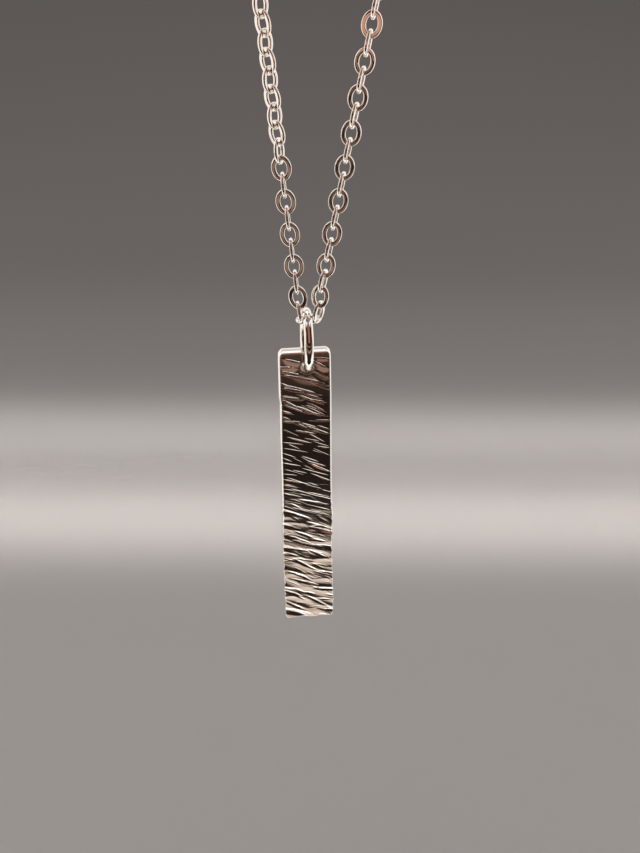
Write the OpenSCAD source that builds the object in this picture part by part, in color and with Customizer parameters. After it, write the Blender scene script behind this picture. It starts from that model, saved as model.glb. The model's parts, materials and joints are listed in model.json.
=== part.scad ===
// Bar pendant on a fine chain: a rectangular silver bar, drilled near its top edge, hangs by one
// round jump ring on a chain that is closed by a clasp at the back of the neck.
// Millimetres, +Z up, +X to the right of a viewer who faces the bar, and +Y away from that viewer.
// The origin is where the worn loop rests on the neck, on the underside of its highest point.

/* [Bar] */
// Width of the bar
bar_w = 5.0; // [4:0.1:8]
// Length of the bar
bar_l = 32.4; // [20:0.1:45]
// Thickness of the bar
bar_t = 1.3; // [1:0.1:1.6]
// Radius of the bar's four corners, seen from the front
bar_corner_r = 0.5; // [0.4:0.1:1]
// Radius of the tumbled edges all round the bar
bar_edge_r = 0.3; // [0.2:0.05:0.4]

/* [Hole] */
// Diameter of the hole in the bar
hole_d = 1.3; // [1.25:0.05:1.5]
// Distance from the hole's centre to the bar's top edge
hole_top = 1.75; // [1.5:0.05:2.2]
// Distance of the hole's centre from the bar's centre line, to the right
hole_side = 0.25; // [0:0.05:0.5]

/* [Jump ring] */
// Thickness of the ring's wire
ring_wire = 0.9; // [0.7:0.05:0.9]
// Inner diameter of the ring
ring_inner = 4.5; // [4.5:0.1:6]

/* [Chain] */
// Length of the whole loop, clasp included
loop_l = 457; // [400:1:600]
// Diameter of the tube that holds the fine links
chain_d = 0.9; // [0.7:0.05:1.0]
// Lean of the left strand from the vertical, in degrees
lean_left = 6; // [5:0.1:12]
// Lean of the right strand from the vertical, in degrees
lean_right = 9.7; // [5:0.1:12]

/* [Clasp] */
// Outer diameter of the round clasp
clasp_d = 6; // [5:0.5:8]
// Thickness of the clasp's body
clasp_wire = 1.1; // [1:0.1:1.4]
// Outer diameter of the eye at each side of the clasp
eye_d = 2.1; // [1.9:0.1:2.6]
// Thickness of the eye's wire
eye_wire = 0.6; // [0.5:0.05:0.7]

/* [Fit] */
// Gap between pieces that hang in each other
play = 0.05; // [0.04:0.01:0.08]

/* [Hidden] */

chain_sides = 8;
arc_rings = 15;
strand_rings = 14;
turn_rings = 13;

ring_r = (ring_inner + ring_wire) / 2;

// The loop is a belt round two circles: a wide arc at the neck and the small turn over the ring's wire.
half_angle = (lean_left + lean_right) / 2;
sway = (lean_right - lean_left) / 2;
turn_r = (ring_wire + chain_d) / 2 + play;
strand_gain = 2 / tan(half_angle);
neck_r = (loop_l + turn_r * (strand_gain - PI + half_angle * PI / 90))
    / (strand_gain + PI + half_angle * PI / 90);
drop = (neck_r - turn_r) / sin(half_angle);
neck_c = [0, chain_d / 2 - neck_r];
turn_c = neck_c - drop * [sin(sway), cos(sway)];

// The ring hangs with its top wire in the chain's turn, and the bar hangs on its bottom wire.
ring_c = turn_c - [0, ring_r];
hole_drop = play;
hole_c = ring_c - [0, ring_r + hole_drop];

// The bar's centre of mass lies straight under the hole, so the bar hangs a little askew.
bar_tilt = atan(hole_side / (bar_l / 2 - hole_top));

clasp_r = (clasp_d - clasp_wire) / 2;
eye_r = (eye_d - eye_wire) / 2;
eye_x = clasp_r + eye_r + eye_wire / 2;
chain_end_x = eye_x + eye_d / 2 + 2 * play;
chain_end_angle = asin(chain_end_x / neck_r);

// One stop on an arc: place [x, z] and the heading's angle, going round anticlockwise.
function arc_stop(centre, radius, angle) =
    [centre + radius * [cos(angle), sin(angle)], angle + 90];

// Evenly spaced stops on an arc, both ends included.
function arc_stops(centre, radius, from, to, count) =
    [for (i = [0:count - 1]) arc_stop(centre, radius, from + (to - from) * i / (count - 1))];

// Evenly spaced stops on a straight strand between two stops, both ends left out.
function strand_stops(from, to, count) =
    [for (i = [1:count]) [from[0] + (to[0] - from[0]) * i / (count + 1), from[1]]];

left_arc = arc_stops(neck_c, neck_r, 90 + chain_end_angle, 180 + lean_left, arc_rings);
turn_arc = arc_stops(turn_c, turn_r, 180 + lean_left, 360 - lean_right, turn_rings);
right_arc = arc_stops(neck_c, neck_r, 360 - lean_right, 450 - chain_end_angle, arc_rings);
left_strand = strand_stops(left_arc[arc_rings - 1], turn_arc[0], strand_rings);
right_strand = strand_stops(turn_arc[turn_rings - 1], right_arc[0], strand_rings);
route = concat(left_arc, left_strand, turn_arc, right_strand, right_arc);

// One ring of the tube: its corners in the plane across the heading.
function tube_ring(stop, radius) = [
    for (k = [0:chain_sides - 1])
        let (turn = (k + 0.5) * 360 / chain_sides, out = radius * cos(turn))
        [
            stop[0][0] + out * cos(stop[1] - 90),
            radius * sin(turn),
            stop[0][1] + out * sin(stop[1] - 90)
        ]
];

// A closed tube swept through the stops.
module tube(stops, radius) {
    last = (len(stops) - 1) * chain_sides;
    points = [for (stop = stops) each tube_ring(stop, radius)];
    start_cap = [[for (k = [0:chain_sides - 1]) k]];
    end_cap = [[for (k = [chain_sides - 1:-1:0]) last + k]];
    walls = [
        for (i = [0:len(stops) - 2])
            for (k = [0:chain_sides - 1])
                let (a = i * chain_sides + k, b = i * chain_sides + (k + 1) % chain_sides)
                [a, a + chain_sides, b + chain_sides, b]
    ];
    polyhedron(points, concat(start_cap, walls, end_cap), convexity = 10);
}

// A ring of round wire round the Z axis, its middle at the origin.
module wire_ring(radius, wire) {
    rotate_extrude($fn = 96)
        translate([radius, 0])
            circle(d = wire, $fn = 32);
}

// A rectangle with true round corners, its middle at the origin.
module round_rectangle(w, h, r) {
    square([w - 2 * r, h], center = true);
    square([w, h - 2 * r], center = true);
    for (x = [-1, 1], y = [-1, 1])
        translate([x * (w / 2 - r), y * (h / 2 - r)])
            circle(r = r, $fn = 32);
}

// The slab with its middle at the origin: the outline from the front, rounded again across and along.
module round_slab() {
    intersection() {
        rotate([90, 0, 0])
            linear_extrude(bar_t, center = true)
                round_rectangle(bar_w, bar_l, bar_corner_r);
        linear_extrude(bar_l, center = true)
            round_rectangle(bar_w, bar_t, bar_edge_r);
        rotate([90, 0, 90])
            linear_extrude(bar_w, center = true)
                round_rectangle(bar_t, bar_l, bar_edge_r);
    }
}

// The bar hangs from its hole, a little askew, with its face to the front.
module bar() {
    color("#b9b0a6")
        translate([hole_c[0], 0, hole_c[1]])
            rotate([0, -bar_tilt, 0])
                difference() {
                    translate([-hole_side, 0, hole_top - bar_l / 2])
                        round_slab();
                    rotate([90, 0, 0])
                        cylinder(h = 2 * bar_t, d = hole_d, center = true, $fn = 48);
                }
}

// One closed ring of round wire, standing edge-on to the viewer.
module jump_ring() {
    color("#d8d6d2")
        translate([ring_c[0], 0, ring_c[1]])
            rotate([0, 90, 0])
                wire_ring(ring_r, ring_wire);
}

// The loop of fine links as one tube, from one side of the clasp down through the ring and back.
module chain() {
    color("#c2bfba")
        tube(route, chain_d / 2);
}

// A round clasp with an eye at each side, lying flat on the neck in one piece.
module clasp() {
    color("#cfccc7") {
        translate([0, 0, clasp_wire / 2])
            wire_ring(clasp_r, clasp_wire);
        for (side = [-1, 1])
            translate([side * eye_x, 0, eye_wire / 2])
                wire_ring(eye_r, eye_wire);
    }
}

bar();
jump_ring();
chain();
clasp();
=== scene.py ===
"""A hammered silver bar that hangs by one jump ring on a fine cable chain, seen by soft studio light."""
import json
import bpy
import numpy as np
from mathutils import Matrix, Vector


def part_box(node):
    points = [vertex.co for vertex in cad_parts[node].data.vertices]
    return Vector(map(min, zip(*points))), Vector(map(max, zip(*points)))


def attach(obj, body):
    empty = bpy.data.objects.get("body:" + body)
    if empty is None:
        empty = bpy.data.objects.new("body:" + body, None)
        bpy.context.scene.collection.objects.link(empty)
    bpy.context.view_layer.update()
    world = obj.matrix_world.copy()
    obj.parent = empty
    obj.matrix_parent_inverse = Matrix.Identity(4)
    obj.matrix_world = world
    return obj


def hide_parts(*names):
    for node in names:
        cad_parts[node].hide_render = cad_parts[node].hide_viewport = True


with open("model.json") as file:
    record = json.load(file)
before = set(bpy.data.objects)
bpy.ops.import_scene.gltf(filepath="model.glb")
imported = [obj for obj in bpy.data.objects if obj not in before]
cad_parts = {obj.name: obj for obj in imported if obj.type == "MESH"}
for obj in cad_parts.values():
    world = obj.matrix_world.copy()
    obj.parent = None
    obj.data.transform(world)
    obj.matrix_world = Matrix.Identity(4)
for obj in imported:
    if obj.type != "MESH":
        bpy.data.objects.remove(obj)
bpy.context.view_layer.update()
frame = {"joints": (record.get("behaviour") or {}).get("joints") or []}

# The view: from a little to the left of the bar, 30 degrees above it and 126 mm from its hole, through a
# lens of normal angle. Every place below starts from the two points that the pendant swings on.
MM = 0.001
hung_at = {joint["name"]: np.array(joint["pos_m"]) for joint in frame["joints"]}
hole = hung_at["bar_swing"]
LENS, AZIMUTH, ELEVATION, ROLL = 54.27, -5.468, 30.045, 0.334
VIEWPOINT = np.array([-9.329, -111.357, 57.681]) * MM

camera = bpy.data.objects.new("camera", bpy.data.cameras.new("camera"))
bpy.context.collection.objects.link(camera)
camera.data.lens = LENS
camera.data.sensor_width = 36
camera.data.clip_start, camera.data.clip_end = 0.005, 20
turns = [(AZIMUTH, "Z"), (90 - ELEVATION, "X"), (ROLL, "Z")]
stand = Matrix.Translation(hole + VIEWPOINT)
for degrees, axis in turns:
    stand = stand @ Matrix.Rotation(np.radians(degrees), 4, axis)
camera.matrix_world = stand
bpy.context.scene.camera = camera
bpy.context.scene.view_settings.view_transform = "Standard"


# The bar: a strip of sterling silver sheet, drilled near its top edge. Its front was struck slantwise with
# the narrow end of a hammer, lightly above and hard towards the foot, and the bar was then tumbled bright.
BAR_W, BAR_L, BAR_T = 5.0, 32.4, 1.3
CORNER_R, EDGE_W = 0.5, 0.195
HOLE_R, RIM_W = 0.65, 0.10
HOLE_SIDE, HOLE_DOWN = 0.25, 1.75
BAR_TILT = 0.9912
FACE_W, FACE_L = BAR_W / 2 - EDGE_W, BAR_L / 2 - EDGE_W
COLUMNS, ROWS = 36, 940
SLANT = 23


def smooth(value, start, stop):
    """0 before start, 1 after stop, and t²(3 - 2t) between them."""
    t = np.clip((value - start) / (stop - start), 0, 1)
    return t * t * (3 - 2 * t)


def stations(count, gather):
    """count steps from -1 to 1: a straight line mixed with a quarter wave, which gathers them at the ends."""
    p = np.linspace(-1, 1, count + 1)
    return (1 - gather) * p + gather * np.sin(np.pi / 2 * p)


def strokes(rng, start, stop, step, half_long, half_wide, depth, slant, drift):
    """Hammer strokes in rough rows, two across: [x, down, slant, half length, half width, depth, bow]."""
    x, down = [a.ravel() for a in np.meshgrid([-BAR_W / 4, BAR_W / 4], np.arange(start, stop, step))]
    n = len(x)
    x = x + rng.uniform(-1, 1, n) * drift[0]
    down = down + rng.uniform(-1, 1, n) * drift[1]
    angle = np.radians(rng.normal(slant[0], slant[1], n))
    sizes = [rng.uniform(low, high, n) for low, high in (half_long, half_wide, depth, (-0.3, 0.3))]
    return np.stack([x, down, angle, *sizes], -1)


def struck(x, down, blows, crest, power, lower):
    """Flat metal lowered by every blow, by depth·(|across|ᵖ + |along|³ - 1) with the power p across its
    slant, and the lower side that many times as wide as the upper. The lowest of all is taken with its
    crests rounded, as -crest·ln(1 + Σ exp(-height / crest))."""
    total = np.ones_like(x)
    for cx, cd, angle, half_long, half_wide, depth, bow in blows:
        along = ((x - cx) * np.cos(angle) + (down - cd) * np.sin(angle)) / half_long
        across = ((down - cd) * np.cos(angle) - (x - cx) * np.sin(angle)) / half_wide + bow * along ** 2
        across = np.where(across > 0, across / lower, -across)
        height = depth * (across ** power + np.abs(along) ** 3 - 1)
        total += np.exp(np.clip(-height / crest, -60, 60))
    return -crest * np.log(total)


# The deepest single marks, listed as [x, down, slant in degrees, half length, half width, depth]:
# long scores in the upper half, blows whose lower sides lean far back and look dark, and around the hole
# broad facets that lean back only a little.
LONG_SCORES = [
    [-1.9, 1.55, 3, 0.6, 0.08, 0.06], [-1.3, 2.25, 16, 1.2, 0.09, 0.07], [-1.0, 0.95, 18, 0.9, 0.07, 0.05],
    [-0.3, 2.85, 15, 2.1, 0.09, 0.07], [-1.1, 4.1, 15, 1.1, 0.10, 0.08], [1.4, 1.35, 34, 1.0, 0.06, 0.04],
    [1.5, 2.4, 34, 0.9, 0.06, 0.04], [-1.4, 5.0, 12, 1.2, 0.10, 0.07], [0.4, 6.6, 30, 1.3, 0.07, 0.05],
    [1.0, 8.7, 26, 1.6, 0.08, 0.06], [1.2, 13.2, 30, 1.7, 0.09, 0.07], [0.0, 16.3, 22, 2.0, 0.09, 0.06],
]
LEANT_BLOWS = [
    [1.6, 0.8, 8, 0.9, 0.1, 0.20], [0.5, 17.4, 16, 1.5, 0.2, 0.08], [-1.0, 18.9, 24, 1.6, 0.2, 0.08],
    [1.2, 20.4, 24, 1.5, 0.2, 0.08], [-0.9, 22.0, 26, 1.4, 0.16, 0.06], [1.5, 23.0, 10, 1.0, 0.16, 0.07],
    [-1.9, 24.6, 28, 0.8, 0.16, 0.06], [-1.6, 28.5, 20, 1.2, 0.22, 0.09], [-1.7, 31.4, 26, 0.9, 0.14, 0.06],
    [2.0, 31.5, 8, 0.5, 0.14, 0.06],
]
FACETS = [
    [1.4, 1.35, 34, 1.4, 0.06, 0.045], [1.7, 2.5, 34, 1.0, 0.05, 0.02], [-1.0, 0.95, 18, 1.3, 0.05, 0.04],
    [-1.7, 1.6, 8, 1.1, 0.05, 0.04], [0.2, 2.95, 16, 1.8, 0.05, 0.025],
]


def hammered(x, down):
    """How far the struck face lies below the flat, in mm and negative, at x to the right and down the bar.
    The depths of all but the broad strokes are drawn as shares of their half widths, and of the scores round
    the hole only the finest are kept."""
    rng = np.random.default_rng(8)
    scores = strokes(rng, 0.2, 19.0, step=0.41, half_long=(0.8, 1.9), half_wide=(0.05, 0.08),
                     depth=(0.45, 0.80), slant=(23, 7), drift=(1.2, 0.3))
    scores[:, 5] *= scores[:, 4]
    scores = scores[(scores[:, 1] > 3.3) | (scores[:, 4] < 0.06)]
    broad = strokes(rng, 14.5, 34.5, step=1.05, half_long=(1.2, 2.4), half_wide=(0.4, 0.85),
                    depth=(0.04, 0.09), slant=(24, 10), drift=(1.2, 0.6))
    broad[:, 5] *= np.clip((broad[:, 1] - 13.5) / 8, 0.1, 1)
    narrow = strokes(rng, 15.0, 34.0, step=1.2, half_long=(0.7, 1.9), half_wide=(0.14, 0.30),
                     depth=(0.20, 0.42), slant=(25, 9), drift=(1.3, 0.9))
    narrow[:, 5] *= narrow[:, 4] * np.clip((narrow[:, 1] - 12.5) / 7, 0.15, 1)
    chips = strokes(rng, 16.5, 34.0, step=0.4, half_long=(0.25, 1.1), half_wide=(0.05, 0.16),
                    depth=(0.14, 0.36), slant=(26, 14), drift=(1.2, 0.5))
    chips[:, 5] *= chips[:, 4]
    placed = [np.pad(np.array(rows), ((0, 0), (0, 1))) for rows in (LONG_SCORES, LEANT_BLOWS, FACETS)]
    for rows in placed:
        rows[:, 2] = np.radians(rows[:, 2])
    marks, leant, facets = placed
    return (struck(x, down, broad, crest=0.0025, power=2, lower=0.6)
            + struck(x, down, narrow, crest=0.0015, power=1.2, lower=0.8)
            + struck(x, down, chips, crest=0.001, power=1, lower=0.8)
            + struck(x, down, leant, crest=0.002, power=1, lower=3.5)
            + struck(x, down, [*scores, *marks], crest=0.0012, power=1, lower=2.2)
            + struck(x, down, facets, crest=0.0015, power=1, lower=14))


def rim(index):
    """The border of a grid of vertex numbers as one loop, clockwise from its first corner."""
    return np.concatenate([index[0, :-1], index[:-1, -1], index[-1, :0:-1], index[:0:-1, 0]])


def woven(index):
    """The quads of a grid of vertex numbers, row by row."""
    return np.stack([index[:-1, :-1], index[1:, :-1], index[1:, 1:], index[:-1, 1:]], -1).reshape(-1, 4)


def looped(index):
    """The quads of a grid of vertex numbers whose rows are closed loops."""
    return woven(np.concatenate([index, index[:, :1]], 1))


def piece(name, points, quads, body, node):
    """One mesh object from points in metres and quads, without the points that no quad uses, put on its
    CAD body in place of a CAD node."""
    used, quads = np.unique(quads, return_inverse=True)
    quads = quads.reshape(-1, 4)
    mesh = bpy.data.meshes.new(name)
    mesh.vertices.add(len(used))
    mesh.vertices.foreach_set("co", points[used].ravel())
    mesh.loops.add(quads.size)
    mesh.loops.foreach_set("vertex_index", quads.ravel())
    mesh.polygons.add(len(quads))
    mesh.polygons.foreach_set("loop_start", np.arange(0, quads.size, 4))
    mesh.update(calc_edges=True)
    mesh.validate()
    mesh.shade_smooth()
    made = bpy.data.objects.new(name, mesh)
    bpy.context.collection.objects.link(made)
    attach(made, body)
    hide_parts(node)
    return made, used


# The face as a grid: corners rounded, rows leaned along the strokes, and a block of cells opened to the
# hole. The grid bends round the hole, fully at the block's border and no more at EASED times its half size.
BLOCK, EASED, EASED_OVER = 0.5, 2.3, 1.3
x, down = np.meshgrid(stations(COLUMNS, 0.45) * FACE_W, stations(ROWS, 0.1) * FACE_L + BAR_L / 2)
columns_cut = [np.abs(x[0] - HOLE_SIDE - side * BLOCK).argmin() for side in (-1, 1)]
rows_cut = [np.abs(down[:, 0] - HOLE_DOWN - side * BLOCK).argmin() for side in (-1, 1)]
block_x, block_down = x[0, columns_cut] - HOLE_SIDE, down[rows_cut, 0] - HOLE_DOWN
inner = CORNER_R - EDGE_W
core_x = np.clip(x, inner - FACE_W, FACE_W - inner)
core_down = np.clip(down, EDGE_W + inner, BAR_L - EDGE_W - inner)
corner_x, corner_down = (x - core_x) / inner, (down - core_down) / inner
out_x = corner_x * np.sqrt(1 - corner_down ** 2 / 2)
out_down = corner_down * np.sqrt(1 - corner_x ** 2 / 2)
x, down = core_x + inner * out_x, core_down + inner * out_down
leaned = smooth(down, 2.3, 4.9) * (1 - smooth(down, BAR_L - 4.5, BAR_L - 0.4))
down = down + np.tan(np.radians(SLANT)) * x * leaned
off_x, off_down = x - HOLE_SIDE, down - HOLE_DOWN
share = np.maximum(off_x / np.where(off_x > 0, block_x[1], block_x[0]),
                   off_down / np.where(off_down > 0, block_down[1], block_down[0]))
pull = np.clip((EASED - share) / EASED_OVER, 0, 1)
stretch = 1 - pull + pull * (HOLE_R + RIM_W) * share / np.maximum(np.hypot(off_x, off_down), 1e-6)
x, down = HOLE_SIDE + off_x * stretch, HOLE_DOWN + off_down * stretch

to_edge = np.minimum(FACE_W - np.abs(x), np.minimum(down - EDGE_W, BAR_L - EDGE_W - down))
to_hole = np.hypot(x - HOLE_SIDE, down - HOLE_DOWN) - HOLE_R - RIM_W
hard = smooth(down, 15, 20)
kept = 1 - 0.5 * (1 - smooth(to_edge, 0, 0.3)) * (1 - hard)
dip = hammered(x, down) * kept * smooth(to_hole, 0.0, 0.25)


# An edge's section runs from the face to the wall in arcs that meet smoothly. An arc of radius r from
# angle a to b goes r(sin b - sin a) outwards and r(cos a - cos b) inwards. The sides break sharply over the
# first 50 degrees and then bend wide; the top edge was filed, so it breaks further and then lies nearly
# level. Where the bar was struck hard its edges are left sharper, and every blow over one swells it.
SIDE_EDGE = ([0, 17, 34, 50, 60, 70, 80, 90], [0.1, 0.1, 0.1, 0.5, 0.5, 0.5, 0.5])
HARD_EDGE = ([0, 17, 34, 50, 60, 70, 80, 90], [0.07, 0.07, 0.07, 0.06, 0.06, 0.06, 0.06])
TOP_EDGE = ([0, 30, 55, 76, 79, 82, 85, 90], [0.12, 0.12, 0.12, 2.0, 2.0, 2.0, 1.0])


def section(degrees, radii):
    """The section's points as [outwards, inwards] for those angles and the radii of the arcs between them."""
    turns = np.radians(degrees)
    return np.cumsum(np.array(radii) * [np.diff(np.sin(turns)), -np.diff(np.cos(turns))], 1)


def rolled(loop, out_x, out_down, scale):
    """Rows of points over an edge, from the front to the back: the edge's section outwards from each point
    of the loop, the straight wall, and the section again; the face's dip fades over the first. The scale is
    1 for the outline, and smaller for the hole's rim, which is neither filed nor struck."""
    upward = np.clip(-out_down, 0, 1) * (scale == 1)
    worked = smooth(down, 17.5, 22).ravel()[loop] * (scale == 1)
    side, sharp, top = [section(*edge)[..., None] for edge in (SIDE_EDGE, HARD_EDGE, TOP_EDGE)]
    reach, inwards = scale * ((side * (1 - worked) + sharp * worked) * (1 - upward) + top * upward)
    swell = -1.2 * worked * dip.ravel()[loop] * inwards / inwards.max()
    front = np.arange(2 * len(reach))[:, None] < len(reach)
    reach, inwards = np.concatenate([reach + swell, reach[::-1]]), np.concatenate([inwards, inwards[::-1]])
    depth = np.where(front, -1, 1) * (BAR_T / 2 - inwards)
    depth = depth - np.where(front, (1 - inwards / inwards.max()) ** 2, 0) * dip.ravel()[loop]
    return np.stack([x.ravel()[loop] + reach * out_x, depth, down.ravel()[loop] + reach * out_down], -1)


face = np.arange(x.size).reshape(x.shape)
back = face + x.size
block = np.ix_(range(rows_cut[0], rows_cut[1] + 1), range(columns_cut[0], columns_cut[1] + 1))
outline, drilled = rim(face), rim(face[block])
length = np.hypot(out_x, out_down).ravel()[outline]
edge = rolled(outline, out_x.ravel()[outline] / length, out_down.ravel()[outline] / length, 1)
wall_x, wall_down = HOLE_SIDE - x.ravel()[drilled], HOLE_DOWN - down.ravel()[drilled]
length = np.hypot(wall_x, wall_down)
wall = rolled(drilled, wall_x / length, wall_down / length, RIM_W / EDGE_W)
first = 2 * x.size
edge_rows = first + np.arange(edge[..., 0].size).reshape(edge.shape[:2])
wall_rows = first + edge_rows.size + np.arange(wall[..., 0].size).reshape(wall.shape[:2])
solid_cells = np.ones((ROWS, COLUMNS), bool)
solid_cells[rows_cut[0]:rows_cut[1], columns_cut[0]:columns_cut[1]] = False
solid_cells = solid_cells.ravel()
quads = np.concatenate([
    woven(face)[solid_cells],
    woven(back)[solid_cells][:, ::-1],
    looped(np.vstack([outline, edge_rows, outline + x.size]))[:, ::-1],
    looped(np.vstack([drilled, wall_rows, drilled + x.size])),
])
points = np.concatenate([
    np.stack([x, -BAR_T / 2 - dip, down], -1).reshape(-1, 3),
    np.stack([x, np.full(x.shape, BAR_T / 2), down], -1).reshape(-1, 3),
    edge.reshape(-1, 3),
    wall.reshape(-1, 3),
])

# The blows spread the metal sideways, most where the bar was struck hardest; the left side has one small
# step near the top. The spread of each side, in mm, is given at a few places down the bar.
PLACES = [0, 1, 3, 5.2, 5.8, 10, 15, 17.5, 20, 22.5, 25, 28.5, 30, 32.4]
SPREAD = {-1: [0.00, 0.05, 0.06, 0.07, -0.01, 0.08, 0.09, 0.12, 0.18, 0.25, 0.27, 0.27, 0.23, 0.20],
          1: [0.06, 0.08, 0.09, 0.11, 0.10, 0.08, 0.07, 0.09, 0.20, 0.09, 0.12, 0.16, 0.20, 0.16]}
x, down = points[:, 0], points[:, 2]
side = np.where(x < 0, -1, 1)
spread = np.where(x < 0, *[np.interp(down, PLACES, SPREAD[k]) for k in (-1, 1)])
spread = spread + 0.02 * smooth(down, 15, 20) * (np.sin(2.3 * down + 2 * side) + np.sin(5.1 * down - side)
                                                 + 1.2 * np.sin(8.7 * down + 3 * side))
x = x + side * smooth(np.abs(x), 1.3, BAR_W / 2) * spread
down = down + 0.06 * np.sin(2.4 * x + 1) * smooth(down, BAR_L - 1.2, BAR_L)
x, up = x - HOLE_SIDE, HOLE_DOWN - down
lean = np.radians(-BAR_TILT)
points = hole + MM * np.stack([x * np.cos(lean) + up * np.sin(lean), points[:, 1],
                               up * np.cos(lean) - x * np.sin(lean)], -1)
bar, used = piece("bar_silver", points, quads, "pendant", "bar")

# Each point carries how near it is to a tumbled edge, how hard the metal was struck there, and whether it is
# on the drilled wall of the hole.
tumbled = np.concatenate([(1 - smooth(to_edge, 0, 0.2)).ravel(), np.zeros(back.size),
                          np.ones(edge_rows.size), np.zeros(wall_rows.size)])
bore = (np.arange(len(points)) >= len(points) - wall_rows.size).astype(float)
for name, values in (("tumbled", tumbled), ("worked", smooth(down, 13, 19)), ("bore", bore)):
    bar.data.attributes.new(name, "FLOAT", "POINT").data.foreach_set("value", values[used])


def linear(code):
    """An sRGB hex colour as linear red, green, blue and a full alpha."""
    c = np.array([int(code[i:i + 2], 16) for i in (1, 3, 5)]) / 255
    return (*np.where(c <= 0.04045, c / 12.92, ((c + 0.055) / 1.055) ** 2.4), 1.0)


def add(tree, kind, inputs=(), **settings):
    """A new node of that kind. Each pair of inputs sets a socket to a value or links it to another's output,
    and the settings are the node's own choices."""
    made = tree.nodes.new(kind)
    for name, value in settings.items():
        setattr(made, name, value)
    for socket, value in inputs:
        if isinstance(value, bpy.types.NodeSocket):
            tree.links.new(value, made.inputs[socket])
        else:
            made.inputs[socket].default_value = value
    return made


def finish(name, code, roughness, metallic=1.0):
    """A surface of that colour, bare metal unless told otherwise: its material, node tree and shader."""
    made = bpy.data.materials.new(name)
    made.use_nodes = True
    shader = made.node_tree.nodes["Principled BSDF"]
    shader.inputs["Base Color"].default_value = linear(code)
    shader.inputs["Metallic"].default_value = metallic
    shader.inputs["Roughness"].default_value = roughness
    return made, made.node_tree, shader


# Sterling silver, hammered and tumbled: nearly a mirror on the light blows, and duller on the hard ones,
# which keep the lines of the hammer's face, about 2.5 mm long and 0.3 mm apart. Its rolled edges catch light
# from every side as one bright line. The hole's wall, where tumbling doesn't reach, stays brownish and dull.
hammered_silver, tree, shader = finish("hammered_sterling_silver", "#f5f0ea", 0.1)
where = add(tree, "ShaderNodeTexCoord").outputs["Object"]
along = add(tree, "ShaderNodeMapping", [("Vector", where), ("Rotation", (0, np.radians(-SLANT), 0))])
lines = add(tree, "ShaderNodeMapping", [("Vector", along.outputs[0]), ("Scale", (400, 400, 3000))])
streak = add(tree, "ShaderNodeTexNoise", [("Vector", lines.outputs[0]), ("Scale", 1.0), ("Detail", 3.0)])
worked = add(tree, "ShaderNodeAttribute", attribute_name="worked").outputs["Fac"]
force = add(tree, "ShaderNodeMapRange", [("Value", worked), ("To Min", 0.04), ("To Max", 1.0)])
bump = add(tree, "ShaderNodeBump", [("Height", streak.outputs[0]), ("Strength", force.outputs[0]),
                                    ("Distance", 2e-5)])
worn = add(tree, "ShaderNodeAttribute", attribute_name="tumbled").outputs["Fac"]
soft = add(tree, "ShaderNodeMapRange", [("Value", worked), ("To Min", 0.09), ("To Max", 0.2)])
satin = add(tree, "ShaderNodeMapRange", [("Value", worn), ("To Min", soft.outputs[0]), ("To Max", 0.16)])
drilled_wall = add(tree, "ShaderNodeAttribute", attribute_name="bore").outputs["Fac"]
rough = add(tree, "ShaderNodeMapRange", [("Value", drilled_wall), ("To Min", satin.outputs[0]),
                                         ("To Max", 0.35)])
tone = add(tree, "ShaderNodeMix", [("Factor", drilled_wall), (6, linear("#f5f0ea")), (7, linear("#9a7a62"))],
           data_type="RGBA")
tree.links.new(tone.outputs[2], shader.inputs["Base Color"])
tree.links.new(rough.outputs[0], shader.inputs["Roughness"])
tree.links.new(bump.outputs[0], shader.inputs["Normal"])
bar.data.materials.append(hammered_silver)


# The jump ring: one turn of 0.9 mm sterling silver wire, wound round a rod, cut, closed end to end and
# tumbled. It stands edge-on to the viewer, and the hairline where its ends meet is at the back.
RING_R, WIRE_R = 2.7, 0.45
JOINT_AT, JOINT_DEEP, JOINT_HALF = np.radians(135), 0.03, 0.045


def closed(index):
    """The quads of a grid of vertex numbers that closes both ways."""
    return looped(np.concatenate([index, index[:1]]))


# The wire's middle line is a circle, and round it goes a smaller one, whose radius wavers by about 1 percent
# as handled wire does and sinks a little along the hairline.
around, about = np.meshgrid(np.linspace(0, 2 * np.pi, 384, endpoint=False),
                            np.linspace(0, 2 * np.pi, 48, endpoint=False), indexing="ij")
hairline = JOINT_DEEP * np.exp(-((around - JOINT_AT) * RING_R / JOINT_HALF) ** 2)
wire_r = WIRE_R * (1 + 0.008 * np.sin(5 * around + 2 * about) + 0.006 * np.sin(9 * around - about)) - hairline
out = RING_R + wire_r * np.cos(about)
ring_at = sum(np.array(corner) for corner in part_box("jump_ring")) / 2
points = ring_at + MM * np.stack([wire_r * np.sin(about), out * np.sin(around), out * np.cos(around)], -1)
quads = closed(np.arange(around.size).reshape(around.shape))[:, ::-1]
ring, _ = piece("jump_ring_silver", points.reshape(-1, 3), quads, "ring", "jump_ring")

# Drawn and tumbled silver wire: bright all over, with faint marks of the pliers, about 0.7 mm across.
ring_silver, tree, shader = finish("polished_sterling_wire", "#f5f1ea", 0.06)
where = add(tree, "ShaderNodeTexCoord").outputs["Object"]
marks = add(tree, "ShaderNodeTexNoise", [("Vector", where), ("Scale", 1500.0), ("Detail", 2.0)])
bump = add(tree, "ShaderNodeBump", [("Height", marks.outputs[0]), ("Strength", 1.0), ("Distance", 3e-6)])
polish = add(tree, "ShaderNodeMapRange", [("Value", marks.outputs[0]), ("To Min", 0.04), ("To Max", 0.1)])
tree.links.new(polish.outputs[0], shader.inputs["Roughness"])
tree.links.new(bump.outputs[0], shader.inputs["Normal"])
ring.data.materials.append(ring_silver)


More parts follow.
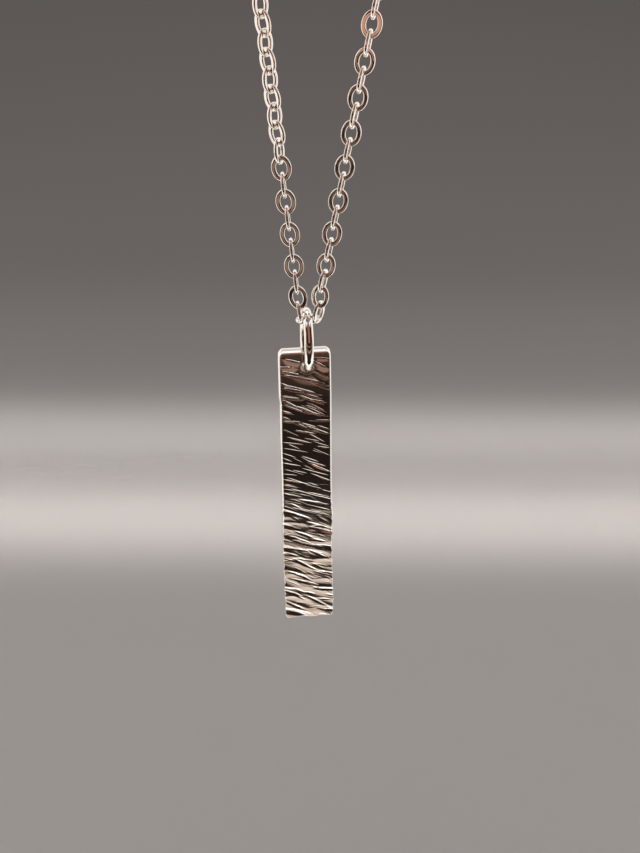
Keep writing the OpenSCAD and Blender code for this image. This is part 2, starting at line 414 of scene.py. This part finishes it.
# The chain: sterling silver cable chain, every link an oval of flattened wire 2.46 by 1.85 mm, turned a
# quarter from the last and soldered shut. The lowest link lies flat under the jump ring's wire, and turns
# with it when the ring swings.
LINK_L, LINK_W, LINK_WIRE, LINK_THICK = 2.46, 1.85, 0.43, 0.31
FLAT, ROUND = 3.6, 2.6
PITCH = LINK_L - 2 * LINK_WIRE
NEAR = 21
turn = hung_at["bar_swing"][[0, 2]] / MM + [0, 2 * RING_R + 0.05]

# The route, by side, left -1 and right 1: a strand leaves the turn under the ring's wire, of radius TURN_R,
# leans outwards by LEAN degrees, and runs into the arc round the neck, to the clasp's eye at END_X. The left
# strand's foot stands a little further in, by FOOT_IN, which is gone FOOT_OVER mm further up. A strand's
# first link is number 2. TWIST gives link numbers and how far they are turned about the strand, in degrees;
# every odd link is turned further by QUARTER.
TURN_R, NECK_R, LEAN = 0.95, 26.1166, {-1: 6.0, 1: 9.7}
NECK_Z = 0.45 - NECK_R
END_X, END_Z = 4.72, 0.3
FOOT_IN, FOOT_OVER = 0.315, 37
FIRST_UP = 1.78
TWIST = {-1: ([2, 3, 10, 12, 21, 140], [-18, -6, -8, -46, -46, 0]),
         1: ([2, 3, 5, 21, 140], [-38, -26, -18, -18, 0])}
QUARTER = {-1: 90, 1: 86}


def link_shape(count_around, count_about):
    """One link in its own frame, its length along X and its flat face to Z: an ellipse as the wire's middle
    line, and round it a section with |cos v|^(2 / FLAT) outwards and |sin v|^(2 / ROUND) across the face."""
    u, v = np.meshgrid(np.linspace(0, 2 * np.pi, count_around, endpoint=False),
                       np.linspace(0, 2 * np.pi, count_about, endpoint=False) + np.pi / count_about,
                       indexing="ij")
    long, wide = (LINK_L - LINK_WIRE) / 2, (LINK_W - LINK_WIRE) / 2
    section = [np.sign(f(v)) * np.abs(f(v)) ** (2 / power) for f, power in ((np.cos, FLAT), (np.sin, ROUND))]
    square = np.hypot(np.cos(u) / long, np.sin(u) / wide)
    r, t = section[0] * LINK_WIRE / 2, section[1] * LINK_THICK / 2
    return np.stack([long * np.cos(u) + r * np.cos(u) / long / square,
                     wide * np.sin(u) + r * np.sin(u) / wide / square, t], -1)


def links(name, shape, middles, lengths, faces, body="necklace"):
    """Links with those middles, directions along and directions of the flat face, as one mesh on a body."""
    lengths = lengths / np.linalg.norm(lengths, axis=-1, keepdims=True)
    widths = np.cross(faces, lengths)
    widths /= np.linalg.norm(widths, axis=-1, keepdims=True)
    frames = np.stack([lengths, widths, np.cross(lengths, widths)], 1)
    points = np.einsum("uvi,nij->nuvj", shape, frames) + middles[:, None, None]
    one = closed(np.arange(shape[..., 0].size).reshape(shape.shape[:2]))
    quads = one[None] + (np.arange(len(middles)) * shape[..., 0].size)[:, None, None]
    made, _ = piece(name, points.reshape(-1, 3) * MM, quads.reshape(-1, 4), body, "chain")
    made.data.materials.append(chain_silver)


def strand(side):
    """Middles, directions along and directions of the face for one strand's links, from the second above the
    ring to the clasp. The way up is the straight tangent to both circles, then the arc round the neck. The
    far links are spaced evenly, as many as make the last one's number even."""
    lean = np.radians(LEAN[side])
    foot = turn + TURN_R * np.array([side * np.cos(lean), -np.sin(lean)])
    head = np.array([side * NECK_R * np.cos(lean), NECK_Z - NECK_R * np.sin(lean)])
    straight = foot + (head - foot) * np.linspace(0, 1, 400)[:, None]
    angle = np.linspace(-lean, np.arccos(END_X / NECK_R), 300)[1:]
    arc = np.stack([side * NECK_R * np.cos(angle), NECK_Z + NECK_R * np.sin(angle)], -1)
    way = np.concatenate([straight, arc])
    if side < 0:
        way[:, 0] += FOOT_IN * np.clip(1 - (way[:, 1] - turn[1]) / FOOT_OVER, 0, 1)
    way[:, 1] += END_Z * smooth(way[:, 1], -2, 0)
    travel = np.concatenate([[0], np.cumsum(np.linalg.norm(np.diff(way, axis=0), axis=1))])
    start = np.interp(turn[1] + FIRST_UP, way[:, 1], travel)
    near = start + PITCH * np.arange(NEAR - 1)
    count = int(np.ceil((travel[-1] - near[-1]) / PITCH))
    count += (NEAR + count) % 2
    stops = np.concatenate([near, np.linspace(near[-1], travel[-1], count + 1)[1:]])
    spots, ahead, behind = [np.stack([np.interp(stops + step, travel, way[:, k]) for k in (0, 1)], -1)
                            for step in (0, 0.4, -0.4)]
    along = ahead - behind
    along /= np.linalg.norm(along, axis=1, keepdims=True)
    number = np.arange(len(stops)) + 2
    twist = np.radians(np.interp(number, *TWIST[side]) + QUARTER[side] * (number % 2))
    twist += np.radians(np.random.default_rng(5 + side).normal(0, 1.5, len(stops)))
    zero = np.zeros(len(stops))
    middles = np.stack([spots[:, 0], zero, spots[:, 1]], -1)
    lengths = np.stack([along[:, 0], zero, along[:, 1]], -1)
    faces = np.stack([np.sin(twist) * along[:, 1], -np.cos(twist), -np.sin(twist) * along[:, 0]], -1)
    return middles, lengths, faces


# Die-struck and barrel-polished silver: every link a small mirror, clouded in spots about 0.4 mm across.
chain_silver, tree, shader = finish("barrel_polished_chain_silver", "#f4f0e9", 0.08)
where = add(tree, "ShaderNodeTexCoord").outputs["Object"]
marks = add(tree, "ShaderNodeTexNoise", [("Vector", where), ("Scale", 2500.0), ("Detail", 2.0)])
polish = add(tree, "ShaderNodeMapRange", [("Value", marks.outputs[0]), ("To Min", 0.05), ("To Max", 0.15)])
tree.links.new(polish.outputs[0], shader.inputs["Roughness"])

# The links at the turn, the lowest first and then the one on its left and the one on its right, each by its
# middle, its direction along and the direction of its flat face. The far links are out of close sight, and
# have fewer faces.
strands = [strand(-1), strand(1)]
yaw = np.radians(12)
wire_top = np.array([turn[0], 0, turn[1]])
turn_links = [
    (wire_top + [0.16, 0.3, -0.68], (np.cos(yaw), np.sin(yaw), 0), (0, 0, 1)),
    (wire_top + [-0.72, 0.1, 0.12], (-0.15, -0.1, 1), (1, -0.01, 0.15)),
    (wire_top + [1.16, 0.1, 0.12], (0.10, -0.1, 1), (0.78, -0.60, -0.14)),
]
turn_links = [np.array(entries) for entries in zip(*turn_links)]
near_links = [np.concatenate([turn_links[k][1:]] + [s[k][:NEAR - 1] for s in strands]) for k in range(3)]
far_links = [np.concatenate([s[k][NEAR - 1:] for s in strands]) for k in range(3)]
links("chain_lowest_link", link_shape(40, 16), *[entries[:1] for entries in turn_links], body="ring")
links("chain_near_links", link_shape(40, 16), *near_links)
links("chain_far_links", link_shape(12, 6), *far_links)


# The clasp: a spring ring of sterling silver tube, with a soldered eye at each side for the chain's ends.
# Its thumb piece stands on the sliding bolt, and fine seams show where the bolt leaves the tube.
CLASP_R, TUBE_R = 2.45, 0.55
EYE_R, EYE_WIRE_R, EYE_X = 0.75, 0.3, 3.5
THUMB_AT, THUMB_R, THUMB_TALL, THUMB_SUNK = 1.62, 0.32, 0.5, 0.12
SEAMS_AT, SEAM_DEEP, SEAM_HALF = (0.6, 1.35, 1.9), 0.05, 0.06
clasp_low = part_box("clasp")[0]


def hoop(radius, wire, steps, sides, middle, seams=()):
    """A ring of round wire that lies flat, its middle at that point and narrow seams at those angles, and
    its quads."""
    u, v = np.meshgrid(np.linspace(0, 2 * np.pi, steps, endpoint=False),
                       np.linspace(0, 2 * np.pi, sides, endpoint=False), indexing="ij")
    seam = SEAM_DEEP * sum(np.exp(-((np.angle(np.exp(1j * (u - at)))) * radius / SEAM_HALF) ** 2)
                           for at in seams)
    section = wire - seam
    out = radius + section * np.cos(v)
    points = np.stack([out * np.cos(u), out * np.sin(u), section * np.sin(v)], -1) + middle
    return points.reshape(-1, 3), closed(np.arange(u.size).reshape(u.shape))


def knob(radius, height, middle, steps=24, rows=14):
    """A small dome on a short stem: a profile [outwards, up] turned round the upright, and a tiny flat lid at
    each end, whose quads run straight across it."""
    p = np.linspace(0, 1, rows)
    out = radius * np.where(p < 0.35, 0.6, np.sqrt(np.clip(1 - ((p - 0.6) / 0.4) ** 2, 0, 1)))
    out[[0, -1]] = 0.01
    turn_round = np.linspace(0, 2 * np.pi, steps, endpoint=False)[:, None]
    points = np.stack([out * np.cos(turn_round), out * np.sin(turn_round),
                       np.broadcast_to(p * height, (steps, rows))], -1) + middle
    grid = np.arange(steps * rows).reshape(steps, rows).T
    lid = np.stack([np.arange(steps // 2), np.arange(steps)[:steps // 2 - 1:-1]], 1)
    lids = [woven(grid[row][lid]) for row in (0, -1)]
    return points.reshape(-1, 3), np.concatenate([looped(grid)[:, ::-1], lids[0][:, ::-1], lids[1]])


parts = [hoop(CLASP_R, TUBE_R, 192, 32, [0, 0, TUBE_R], SEAMS_AT)]
parts += [hoop(EYE_R, EYE_WIRE_R, 72, 20, [side * EYE_X, 0, EYE_WIRE_R]) for side in (-1, 1)]
parts.append(knob(THUMB_R, THUMB_TALL, [CLASP_R * np.cos(THUMB_AT), CLASP_R * np.sin(THUMB_AT),
                                        2 * TUBE_R - THUMB_SUNK]))
starts = np.cumsum([0] + [len(part[0]) for part in parts])
points = np.concatenate([part[0] for part in parts]) + [0, 0, clasp_low.z / MM]
quads = np.concatenate([part[1] + start for part, start in zip(parts, starts)])
clasp, _ = piece("clasp_silver", points * MM, quads, "necklace", "clasp")

# Rolled and polished silver tube, with the faint haze of handling, in clouds about 1 mm across.
clasp_silver, tree, shader = finish("polished_clasp_silver", "#f5f1ea", 0.08)
where = add(tree, "ShaderNodeTexCoord").outputs["Object"]
haze = add(tree, "ShaderNodeTexNoise", [("Vector", where), ("Scale", 900.0), ("Detail", 3.0)])
polish = add(tree, "ShaderNodeMapRange", [("Value", haze.outputs[0]), ("To Min", 0.05), ("To Max", 0.16)])
tree.links.new(polish.outputs[0], shader.inputs["Roughness"])
clasp.data.materials.append(clasp_silver)


# The studio: a plain pale floor, a tall soft box at each side, and glowing cards that only the silver
# mirrors, which paint its reflections.
FLOOR_Z = -0.300
bar_middle = Vector(hole) + Vector((0, 0, -0.0144))


def from_bar(x, y, z):
    """The place that far to the right of the bar's middle, behind it and above it."""
    return bar_middle + Vector((x, y, z))


def board(name, middle, towards, size, material, seen=False):
    """A flat rectangle, its middle at that point and its face turned towards another."""
    facing = (Vector(towards) - Vector(middle)).to_track_quat("Z", "Y").to_matrix()
    corners = [(-1, -1), (1, -1), (1, 1), (-1, 1)]
    mesh = bpy.data.meshes.new(name)
    mesh.from_pydata([Vector(middle) + facing @ Vector((i * size[0] / 2, j * size[1] / 2, 0))
                      for i, j in corners], [], [(0, 1, 2, 3)])
    mesh.materials.append(material)
    made = bpy.data.objects.new(name, mesh)
    bpy.context.collection.objects.link(made)
    made.visible_camera = made.visible_diffuse = made.visible_shadow = seen


def glow(name, code, strength=1.0):
    """A surface that sends out that colour evenly."""
    made = bpy.data.materials.new(name)
    made.use_nodes = True
    made.node_tree.nodes.remove(made.node_tree.nodes["Principled BSDF"])
    light = add(made.node_tree, "ShaderNodeEmission", [("Color", linear(code)), ("Strength", strength)])
    made.node_tree.links.new(light.outputs[0], made.node_tree.nodes["Material Output"].inputs["Surface"])
    return made


def card(name, middle, towards, size, code, strength=1.0):
    """A glowing board of one colour for the silver to mirror: a painted reflection."""
    board(name, middle, towards, size, glow(name, code, strength))


def soft_box(name, middle, towards, size, strength, spread=180, turned=0):
    """An area light of that brightness that the silver doesn't mirror, turned by those degrees about the
    upright; Blender's watts are four times the brightness times the area."""
    light = bpy.data.lights.new(name, "AREA")
    light.shape, light.size, light.size_y = "RECTANGLE", size[0], size[1]
    light.energy = 4 * strength * size[0] * size[1]
    light.spread = np.radians(spread)
    made = bpy.data.objects.new(name, light)
    bpy.context.collection.objects.link(made)
    facing = (Vector(towards) - Vector(middle)).to_track_quat("-Z", "Y").to_matrix().to_4x4()
    upright = Matrix.Rotation(np.radians(turned), 4, "Z")
    made.matrix_world = Matrix.Translation(middle) @ upright @ facing
    made.visible_camera = made.visible_glossy = False


# Uncoated matt paper: pale, warm and even, with only the softest mottle, about 170 mm across.
paper, tree, shader = finish("matt_paper", "#cfc9c5", 0.95, metallic=0.0)
shader.inputs["Specular IOR Level"].default_value = 0.0
where = add(tree, "ShaderNodeTexCoord").outputs["Object"]
mottle = add(tree, "ShaderNodeTexNoise", [("Vector", where), ("Scale", 6.0), ("Detail", 2.0)])
tint = add(tree, "ShaderNodeMix", [("Factor", mottle.outputs[0]), (6, linear("#ccc6c2")),
                                   (7, linear("#d3ccc8"))], data_type="RGBA")
tree.links.new(tint.outputs[2], shader.inputs["Base Color"])
board("floor", (0, 0, FLOOR_Z), (0, 0, 1), (8, 8), paper, seen=True)

world = bpy.data.worlds.new("studio")
bpy.context.scene.world = world
world.use_nodes = True
world.node_tree.nodes["Background"].inputs["Color"].default_value = linear("#959290")
world.node_tree.nodes["Background"].inputs["Strength"].default_value = 0.52

# At each side a soft box lights the floor, and glowing boards paint highlights: a tall wall and two cards
# behind the bar paint them on its edges and the links, and strips further in paint them on the ring and,
# close by, on the lowest links.
for side, name in ((-1, "left"), (1, "right")):
    soft_box(f"{name}_box", from_bar(side * 0.33, -0.06, 0.20), from_bar(0, -0.06, 0.20), (0.50, 0.5), 0.31)
    card(f"{name}_wall", from_bar(side * 0.33, 0.32, 0.12), from_bar(0, 0.32, 0.12), (0.48, 0.66), "#ffffff")
    card(f"{name}_card", from_bar(side * 0.075, 0.097, 0.005), from_bar(0, 0.097, 0.005), (0.17, 0.15),
         "#fffaf6", 1.05)
    card(f"{name}_high_card", from_bar(side * 0.12, 0.15, 0.17), from_bar(0, 0.15, 0), (0.16, 0.16),
         "#fffaf6")
    card(f"{name}_strip", from_bar(side * 0.075, 0, 0.0257), from_bar(0, 0, 0.0257), (0.024, 0.042),
         "#f6e9df")
    card(f"{name}_near_strip", (hole[0] + side * 0.012, -0.0027, -0.1807), (hole[0], -0.0027, -0.1807),
         (0.0073, 0.0315), "#fff4ee", 1.15)

# Straight above the floor, one wide wash of light in front of the bar and three soft-edged pools behind it,
# which show there as two pale bands.
for name, y, z, size, strength, spread in (
        ("near_floor", -0.1075, 0.10, (1.4, 0.485), 0.186, 14),
        ("far_pool", 0.155, 0.05, (1.2, 0.09), 0.045, 12),
        ("middle_pool", 0.1305, 0.05, (1.2, 0.02), 0.30, 6),
        ("near_pool", 0.0985, 0.05, (1.2, 0.021), 0.46, 6)):
    soft_box(name, (0, y, z), (0, y, FLOOR_Z), size, strength, spread, AZIMUTH)

# Glowing cards paint the room's reflections in the silver: dark and warm in front, the dark ones as painted
# shade, and white behind.
card("dark_front_card", from_bar(0, -0.5, 0), bar_middle, (1.6, 0.26), "#2c231e")
card("warm_front_card", from_bar(0, -0.42, 0.45), bar_middle, (0.54, 0.83), "#9a6a5c")
card("red_front_card", from_bar(0, -0.56, 0.54), bar_middle, (5.0, 1.22), "#3c1e18")
card("low_back_card", from_bar(0, 0.60, 0.115), from_bar(0, 0, 0.115), (1.4, 0.27), "#ffffff")
card("beige_back_card", from_bar(0, 0.60, 0.325), from_bar(0, 0, 0.325), (1.4, 0.15), "#f2e6dc", 0.72)
card("bright_back_card", from_bar(0, 0.42, 0.50), bar_middle, (1.4, 0.36), "#ffffff", 1.2)

# The glowing card on the floor in front of the bar paints the bar's reflections: bright near the bar, then
# near black, with a brown stretch further out. Its colours are given by how far they lie behind the bar's
# plane, in metres and negative in front of it.
NEAREST, FURTHEST = -0.40, 0.06
REFLECTION_STOPS = [(-0.36, "#2c231e"), (-0.30, "#6a5348"), (-0.25, "#937668"), (-0.20, "#937668"), (-0.177, "#46362d"),
         (-0.15, "#29201d"), (-0.092, "#231c19"), (-0.086, "#6f6258"), (-0.081, "#c0ad9f"),
         (-0.055, "#dac8ba"), (-0.036, "#efe2d5"), (-0.024, "#ffffff"), (0.0, "#ffffff"), (0.012, "#b8aa9d"),
         (0.055, "#9a8a80")]
painted_reflection_glow = glow("front_painted_reflection", "#000000")
tree = painted_reflection_glow.node_tree
where = add(tree, "ShaderNodeSeparateXYZ", [("Vector", add(tree, "ShaderNodeTexCoord").outputs["Object"])])
along = add(tree, "ShaderNodeMapRange", [("Value", where.outputs["Y"]), ("From Min", NEAREST),
                                         ("From Max", FURTHEST)])
bands = add(tree, "ShaderNodeValToRGB", [("Fac", along.outputs[0])])
ramp = bands.color_ramp
for y, code in REFLECTION_STOPS:
    stop = ramp.elements.new((y - NEAREST) / (FURTHEST - NEAREST))
    stop.color = linear(code)
ramp.elements.remove(ramp.elements[0])
ramp.elements.remove(ramp.elements[-1])
tree.links.new(bands.outputs[0], tree.nodes["Emission"].inputs["Color"])
board("front_floor_card", (hole[0], -0.25, FLOOR_Z + 0.0005), (hole[0], -0.25, 1), (1.0, 0.62), painted_reflection_glow)

# Small glowing cards that paint reflections: white on the floor right below the bar, brighter than white, as
# painted highlights; black close to it below the ring's level, as painted shade; blue-grey overhead; and
# cream on the floor behind.
card("white_floor_card", (hole[0], -0.014, FLOOR_Z + 0.001), (hole[0], -0.014, 1), (0.3, 0.030),
     "#ffffff", 1.8)
card("black_near_card", (hole[0], -0.02, -0.2394), (hole[0], 0, -0.2394), (0.04, 0.0212), "#211a18")
card("black_low_card", (hole[0], -0.0072, -0.225), (hole[0], -0.0072, 0), (0.02, 0.0028), "#211a18")
card("grey_overhead_reflection_card", from_bar(0, 0.067, 0.566), bar_middle, (1.6, 0.3), "#5a636e")
card("back_floor_card", (hole[0], 0.34, FLOOR_Z + 0.001), (hole[0], 0.34, 1), (0.8, 0.42), "#fff8f2", 0.9)

# Copper-coloured glowing strips far out, level with the bar's top, paint copper reflections on a few of its
# lines, and a small one close by paints a copper reflection over the one link of the right strand that shows
# copper-coloured all over.
COPPER_REFLECTION = "#cf957a"
STRIPS_Z, STRIPS_AWAY = -0.2186, 0.3
card("copper_near_card", (-0.0047, -0.0071, -0.1838), (-0.0009, 0, -0.1830), (0.012, 0.0036), COPPER_REFLECTION)
for turned in (-64, -28, 8):
    away = Vector((np.sin(np.radians(turned)), -np.cos(np.radians(turned)), 0))
    card(f"copper_card_{turned}", Vector((0, 0, STRIPS_Z)) + STRIPS_AWAY * away, (0, 0, STRIPS_Z),
         (0.2, 0.013), COPPER_REFLECTION)
